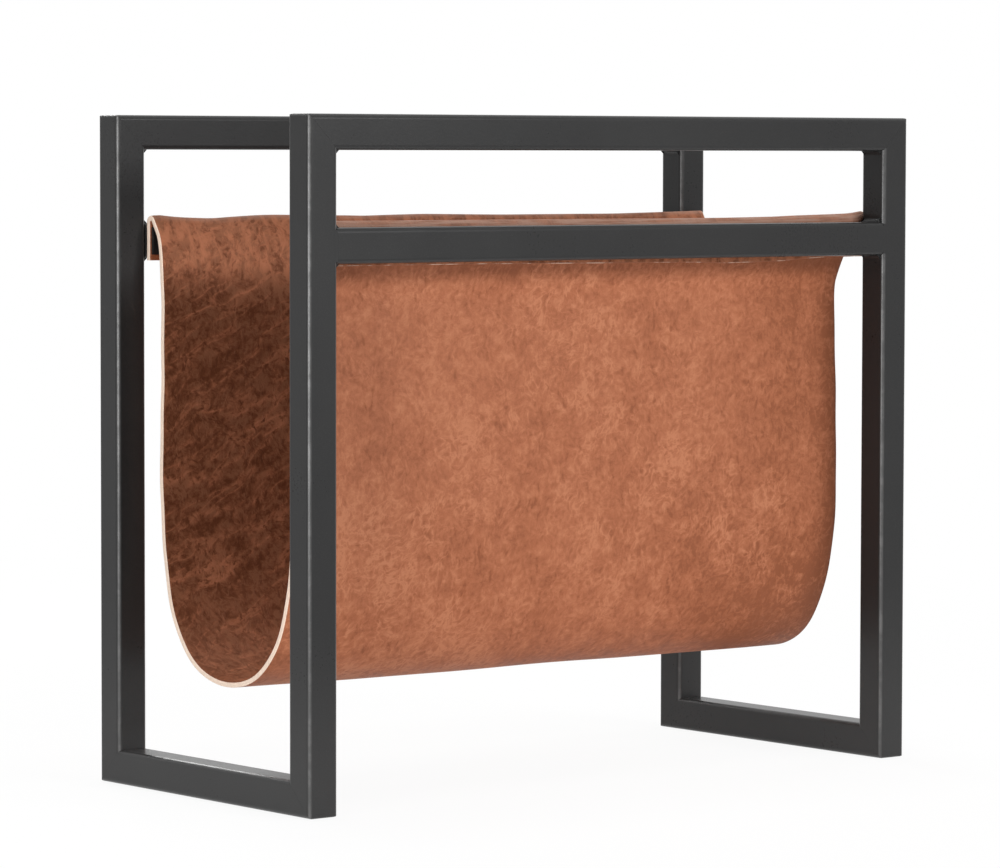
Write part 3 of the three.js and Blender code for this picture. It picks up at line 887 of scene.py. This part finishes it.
def sheet_mesh(name, points, thick, down):
    """Close the sheet: outside, lining and cut edges, with the leather's map in metres."""
    columns, rows = thick.shape
    across = np.gradient(points, axis=0)
    along = np.gradient(points, axis=1)
    normal = np.cross(along, across)
    normal /= np.linalg.norm(normal, axis=2)[..., None]
    lining = points + normal * thick[..., None]
    outside = points - normal * thick[..., None]
    vertices = np.concatenate([lining.reshape(-1, 3), outside.reshape(-1, 3)])
    index = np.arange(columns * rows).reshape(columns, rows)
    far = columns * rows
    spread = np.stack([points[..., 0], np.broadcast_to(down, thick.shape)], 2).reshape(-1, 2)

    faces, looks, maps = [], [], []

    def add(quads, look, chart):
        quads = quads.reshape(-1, 4)
        faces.append(quads)
        looks.append(np.broadcast_to(np.ravel(look), quads.shape[:1]))
        maps.append(chart.reshape(-1, 2))

    quad = np.stack([index[:-1, :-1], index[:-1, 1:], index[1:, 1:], index[1:, :-1]], 2)
    for own, side in ((LINING, quad), (OUTSIDE, quad[..., ::-1])):
        look = np.full(quad.shape[:2], own)
        look[:, :2], look[:, -2:] = FLAP_FOOT, FLAP_FOOT
        look[:2] = CUT_EDGE
        if own == LINING:
            look[-2:] = CUT_EDGE
        add(side + (far if own == OUTSIDE else 0), look, spread[side])

    def rim(line, run, look, turned):
        """The cut between the lining's edge and the outside's, along one side of the sheet."""
        quads = np.stack([line[:-1], line[:-1] + far, line[1:] + far, line[1:]], 1)
        edge, width = np.zeros(len(run) - 1), (0, 2 * thick.max())
        near, away = np.stack([run[:-1], edge], 1), np.stack([run[1:], edge], 1)
        chart = np.stack([near, near + width, away + width, away], 1)
        if turned:
            quads, chart = quads[:, ::-1], chart[:, ::-1]
        add(quads, look, chart)

    rim(index[0], down, CUT_EDGE, False)
    rim(index[-1], down, CUT_EDGE, True)
    rim(index[:, 0], points[:, 0, 0], FLAP_FOOT, True)
    rim(index[:, -1], points[:, -1, 0], FLAP_FOOT, False)

    faces = np.concatenate(faces)
    mesh = bpy.data.meshes.new(name)
    mesh.from_pydata(vertices.tolist(), [], faces.tolist())
    mesh.polygons.foreach_set("material_index", np.concatenate(looks).astype(np.int32))
    mesh.polygons.foreach_set("use_smooth", np.ones(len(faces), bool))
    chart = mesh.uv_layers.new(name=SHEET_MAP)
    chart.uv.foreach_set("vector", np.concatenate(maps).astype(np.float32).ravel())
    mesh.update()
    return mesh


def punched(mesh, material):
    """Cut the screws' holes through the flaps and return the new mesh."""
    points, faces = [], []
    ring = range(HOLE_SIDES)
    for name in SCREW_NODES:
        x, _, z = middle(name)
        face = 1 if "back" in name else -1
        first = len(points)
        for y in HOLE_SPAN:
            for i in ring:
                angle = 2 * math.pi * i / HOLE_SIDES
                out, up = HOLE_RADIUS * math.cos(angle), HOLE_RADIUS * math.sin(angle)
                points.append((x + out, face * y, z + up))
        near, far = [first + i for i in ring], [first + HOLE_SIDES + i for i in ring]
        walls = [[near[i], near[i - 1], far[i - 1], far[i]] for i in ring]
        shell = [near, far[::-1], *walls]
        faces += [f[::-1] for f in shell] if face > 0 else shell
    cutter_mesh = bpy.data.meshes.new("punch")
    cutter_mesh.from_pydata(points, [], faces)
    cutter_mesh.materials.append(material)
    cutter, holder = linked("punch", cutter_mesh), linked("blank", mesh)
    cut = holder.modifiers.new("holes", "BOOLEAN")
    cut.operation, cut.solver, cut.object = "DIFFERENCE", "EXACT", cutter
    result = modified(holder)
    for made in (cutter, holder):
        bpy.data.objects.remove(made)
    if len(result.polygons) < len(mesh.polygons) / 2:
        raise RuntimeError("the screws' holes spoilt the leather")
    return result


class BASKET_OT_coat_frame(bpy.types.Operator):
    """Powder-coat the legs and rails"""

    bl_idname = "basket.coat_frame"
    bl_label = "Coat the frame"

    def execute(self, context):
        coat = powder_coat("charcoal powder coat", context.scene.basket_coat, 0.0)
        for name in STEEL_NODES:
            dress(name, coat)
        return {"FINISHED"}


class BASKET_OT_lay_welds(bpy.types.Operator):
    """Lay a rippled bead in each inner corner and fill the sling rails' joints"""

    bl_idname = "basket.lay_welds"
    bl_label = "Lay the weld beads"

    def execute(self, context):
        settings = context.scene.basket_welds
        turn_of = {(0, 1): 0, (0, 0): 90, (1, 0): 180, (1, 1): 270}
        corners, turns = [], []
        for name in WELD_NODES:
            low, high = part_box(name)
            right, over = "right" in name, "over" in name
            x, z = high.x if right else low.x, low.z if over else high.z
            corners.append((x, middle(name)[1], z))
            turns.append((0.0, math.radians(turn_of[right, over]), 0.0))
        tree = bead_tree(powder_coat("coated weld", context.scene.basket_coat, 1.5))
        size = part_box(WELD_NODES[0])[1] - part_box(WELD_NODES[0])[0]
        values = {
            "Radius": size.x - WELD_GAP,
            "Length": size.y,
            "Ripple Pitch": settings.ripple_pitch,
            "Ripple Depth": settings.ripple_depth,
            "Clearance": WELD_GAP,
        }
        beads = grown("weld_beads", corners, turns, tree, values)

        level = middle("sling_rail_back")[2]
        seams, turns = [], []
        for side, face, turn in ((1, 1, 0), (1, -1, 90), (-1, -1, 180), (-1, 1, 270)):
            seams.append((side * RAIL_HIGH.x, face * RAIL_HIGH.y, level))
            turns.append((math.pi / 2, 0.0, math.radians(turn)))
        values["Radius"] = settings.seam - FILL_SLACK
        values["Length"] = RAIL_HIGH.z - RAIL_LOW.z - FILL_ENDS
        values["Ripple Depth"] = 0.0
        fills = grown("joint_fills", seams, turns, tree, values)
        both = bmesh.new()
        both.from_mesh(beads)
        both.from_mesh(fills)
        both.to_mesh(beads)
        both.free()
        piece("weld_beads", beads, "weld_bead", *WELD_NODES)
        return {"FINISHED"}


class BASKET_OT_blacken_strips(bpy.types.Operator):
    """Blacken the clamp strips inside the folds"""

    bl_idname = "basket.blacken_strips"
    bl_label = "Blacken the clamp strips"

    def execute(self, context):
        black = black_finish("black strip", context.scene.basket_fixings)
        for name in STRIP_NODES:
            dress(name, black)
        return {"FINISHED"}


class BASKET_OT_drive_screws(bpy.types.Operator):
    """Drive the screws through the clamp strips"""

    bl_idname = "basket.drive_screws"
    bl_label = "Drive the screws"

    def execute(self, context):
        settings = context.scene.basket_fixings
        seats, turns = [], []
        for name in SCREW_NODES:
            low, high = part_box(name)
            x, _, z = middle(name)
            back = "back" in name
            seat = low.y + settings.head_height if back else high.y - settings.head_height
            seats.append((x, seat, z))
            turns.append((-math.pi / 2 if back else math.pi / 2, 0.0, 0.0))
        low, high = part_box(SCREW_NODES[0])
        values = {
            "Head Radius": settings.head_diameter / 2,
            "Head Height": settings.head_height,
            "Shank Radius": settings.shank_diameter / 2,
            "Shank Length": high.y - low.y - settings.head_height,
            "Pitch": settings.thread_pitch,
        }
        tree = screw_tree(black_finish("black screw", settings))
        screws = grown("strip_screws", seats, turns, tree, values)
        piece("strip_screws", screws, "screw_steel", *SCREW_NODES)
        return {"FINISHED"}


class BASKET_OT_hang_sling(bpy.types.Operator):
    """Hang the leather sling between the rails"""

    bl_idname = "basket.hang_sling"
    bl_label = "Hang the leather sling"

    def execute(self, context):
        settings = context.scene.basket_sling
        leather = context.scene.basket_leather
        points, thick, down = hung_sheet(settings)
        foot = raw_edge("burnished leather foot", leather, True)
        mesh = sheet_mesh("sling", points, thick, down)
        outside = hide("leather outside", leather, False)
        lining = hide("leather lining", leather, True)
        for finish in (outside, lining, raw_edge("raw leather edge", leather, False), foot):
            mesh.materials.append(finish)
        mesh = punched(mesh, foot)
        sling = piece("sling", mesh, "leather", "leather_sling")
        widths = points[-1, :, 0] - points[0, :, 0]
        area = float(np.sum((widths[1:] + widths[:-1]) / 2 * np.diff(down)))
        flat = (float(widths.max()), float(down[-1] - down[0]))
        return {"FINISHED"}


class BASKET_OT_set_studio(bpy.types.Operator):
    """Lay the floor, hang the lights and place the camera"""

    bl_idname = "basket.set_studio"
    bl_label = "Set the studio"

    def execute(self, context):
        settings = context.scene.basket_studio
        scene = context.scene
        scene.view_settings.view_transform = "Standard"

        mesh = bpy.data.meshes.new("floor")
        signs = ((-1, -1), (1, -1), (1, 1), (-1, 1))
        corners = [(FLOOR_REACH * x, FLOOR_REACH * y, 0) for x, y in signs]
        mesh.from_pydata(corners, [], [range(4)])
        mesh.materials.append(self.paper(settings))
        floor = linked("floor", mesh)
        floor.location.z = -FLOOR_DROP

        self.sky(scene, settings)
        for name, place, size in LAMPS:
            self.lamp(name, place, size, getattr(settings, name))

        camera = bpy.data.cameras.new("camera")
        camera.sensor_fit = "HORIZONTAL"
        camera.sensor_width = CAMERA_SENSOR
        camera.lens = CAMERA_LENS
        camera.clip_end = 100.0
        holder = linked("camera", camera)
        turn, tilt, roll = (math.radians(degrees) for degrees in CAMERA_AIM)
        facing = Euler((math.pi / 2 + tilt, 0.0, -turn)).to_matrix() @ Matrix.Rotation(roll, 3, "Z")
        holder.matrix_world = Matrix.Translation(CAMERA_PLACE) @ facing.to_4x4()
        scene.camera = holder
        return {"FINISHED"}

    @staticmethod
    def seen(wires):
        """1 for what the camera, a reflection or glass looks at, 0 for what only lights."""
        rays = ("Is Camera Ray", "Is Glossy Ray", "Is Transmission Ray")
        path = [wires.node("ShaderNodeLightPath", output=name) for name in rays]
        return path[0].higher(path[1]).higher(path[2])

    def paper(self, settings):
        """White where it is looked at, but for some of its own shading near the basket."""

        def fill(wires):
            place = wires.place()
            tooth = wires.noise(place, 900, 3, 0.6)
            colour = wires.blend(tooth, opaque(settings.floor, 0.97), opaque(settings.floor))
            inputs = {"Base Color": colour, "Roughness": 0.8}
            lit = wires.node("ShaderNodeBsdfPrincipled", None, inputs)
            white = wires.node("ShaderNodeEmission", None, {"Color": WHITE, "Strength": 1.0})
            shading = settings.shadow * wires.length(place).step(0.35, 1.5, 1.0, 0.0)
            share = self.seen(wires) * (1.0 - shading)
            return wires.node("ShaderNodeMixShader", None, {0: share, 1: lit, 2: white})

        return surface("pale floor", fill)

    def sky(self, scene, settings):
        world = bpy.data.worlds.new("studio")
        world.use_nodes = True
        wires = Wires(world.node_tree)
        light, white = (
            wires.node("ShaderNodeBackground", None, {"Color": WHITE, "Strength": strength})
            for strength in (settings.sky, 1.0)
        )
        mixed = wires.node("ShaderNodeMixShader", None, {0: self.seen(wires), 1: light, 2: white})
        wires.node("ShaderNodeOutputWorld", None, {"Surface": mixed})
        scene.world = world

    @staticmethod
    def lamp(name, place, size, power):
        light = bpy.data.lights.new(name, "AREA")
        light.shape = "RECTANGLE"
        light.size, light.size_y = size
        light.energy = power
        facing = (LAMP_AIM - Vector(place)).to_track_quat("-Z", "Y").to_matrix()
        linked(name, light).matrix_world = Matrix.Translation(place) @ facing.to_4x4()


class BASKET_PT_panel(bpy.types.Panel):
    """The basket's pieces and studio"""

    bl_idname = "BASKET_PT_panel"
    bl_label = "Magazine basket"
    bl_space_type = "VIEW_3D"
    bl_region_type = "UI"
    bl_category = "Basket"

    def draw(self, context):
        for title, name, _, operators in ROWS:
            box = self.layout.box()
            box.label(text=title)
            settings = getattr(context.scene, name)
            for key in settings.bl_rna.properties.keys():
                if key not in ("rna_type", "name"):
                    box.prop(settings, key)
            for operator in operators:
                box.operator(operator.bl_idname)


# Heading, the scene's property and its group, and the group's operators.
ROWS = (
    ("Powder coat", "basket_coat", BasketCoat, (BASKET_OT_coat_frame,)),
    ("Weld beads", "basket_welds", BasketWelds, (BASKET_OT_lay_welds,)),
    (
        "Fixings", "basket_fixings", BasketFixings,
        (BASKET_OT_blacken_strips, BASKET_OT_drive_screws),
    ),
    ("Sling", "basket_sling", BasketSling, ()),
    ("Leather", "basket_leather", BasketLeather, (BASKET_OT_hang_sling,)),
    ("Studio", "basket_studio", BasketStudio, (BASKET_OT_set_studio,)),
)
OPERATORS = [operator for row in ROWS for operator in row[3]]
CLASSES = (*(row[2] for row in ROWS), *OPERATORS, BASKET_PT_panel)


def register():
    for kind in CLASSES:
        bpy.utils.register_class(kind)
    for row in ROWS:
        setattr(bpy.types.Scene, row[1], PointerProperty(type=row[2]))


def unregister():
    for row in ROWS:
        delattr(bpy.types.Scene, row[1])
    for kind in reversed(CLASSES):
        bpy.utils.unregister_class(kind)


def main():
    register()
    bpy.ops.basket.coat_frame()
    bpy.ops.basket.lay_welds()
    bpy.ops.basket.blacken_strips()
    bpy.ops.basket.drive_screws()
    bpy.ops.basket.hang_sling()
    bpy.ops.basket.set_studio()


if __name__ == "__main__":
    main()
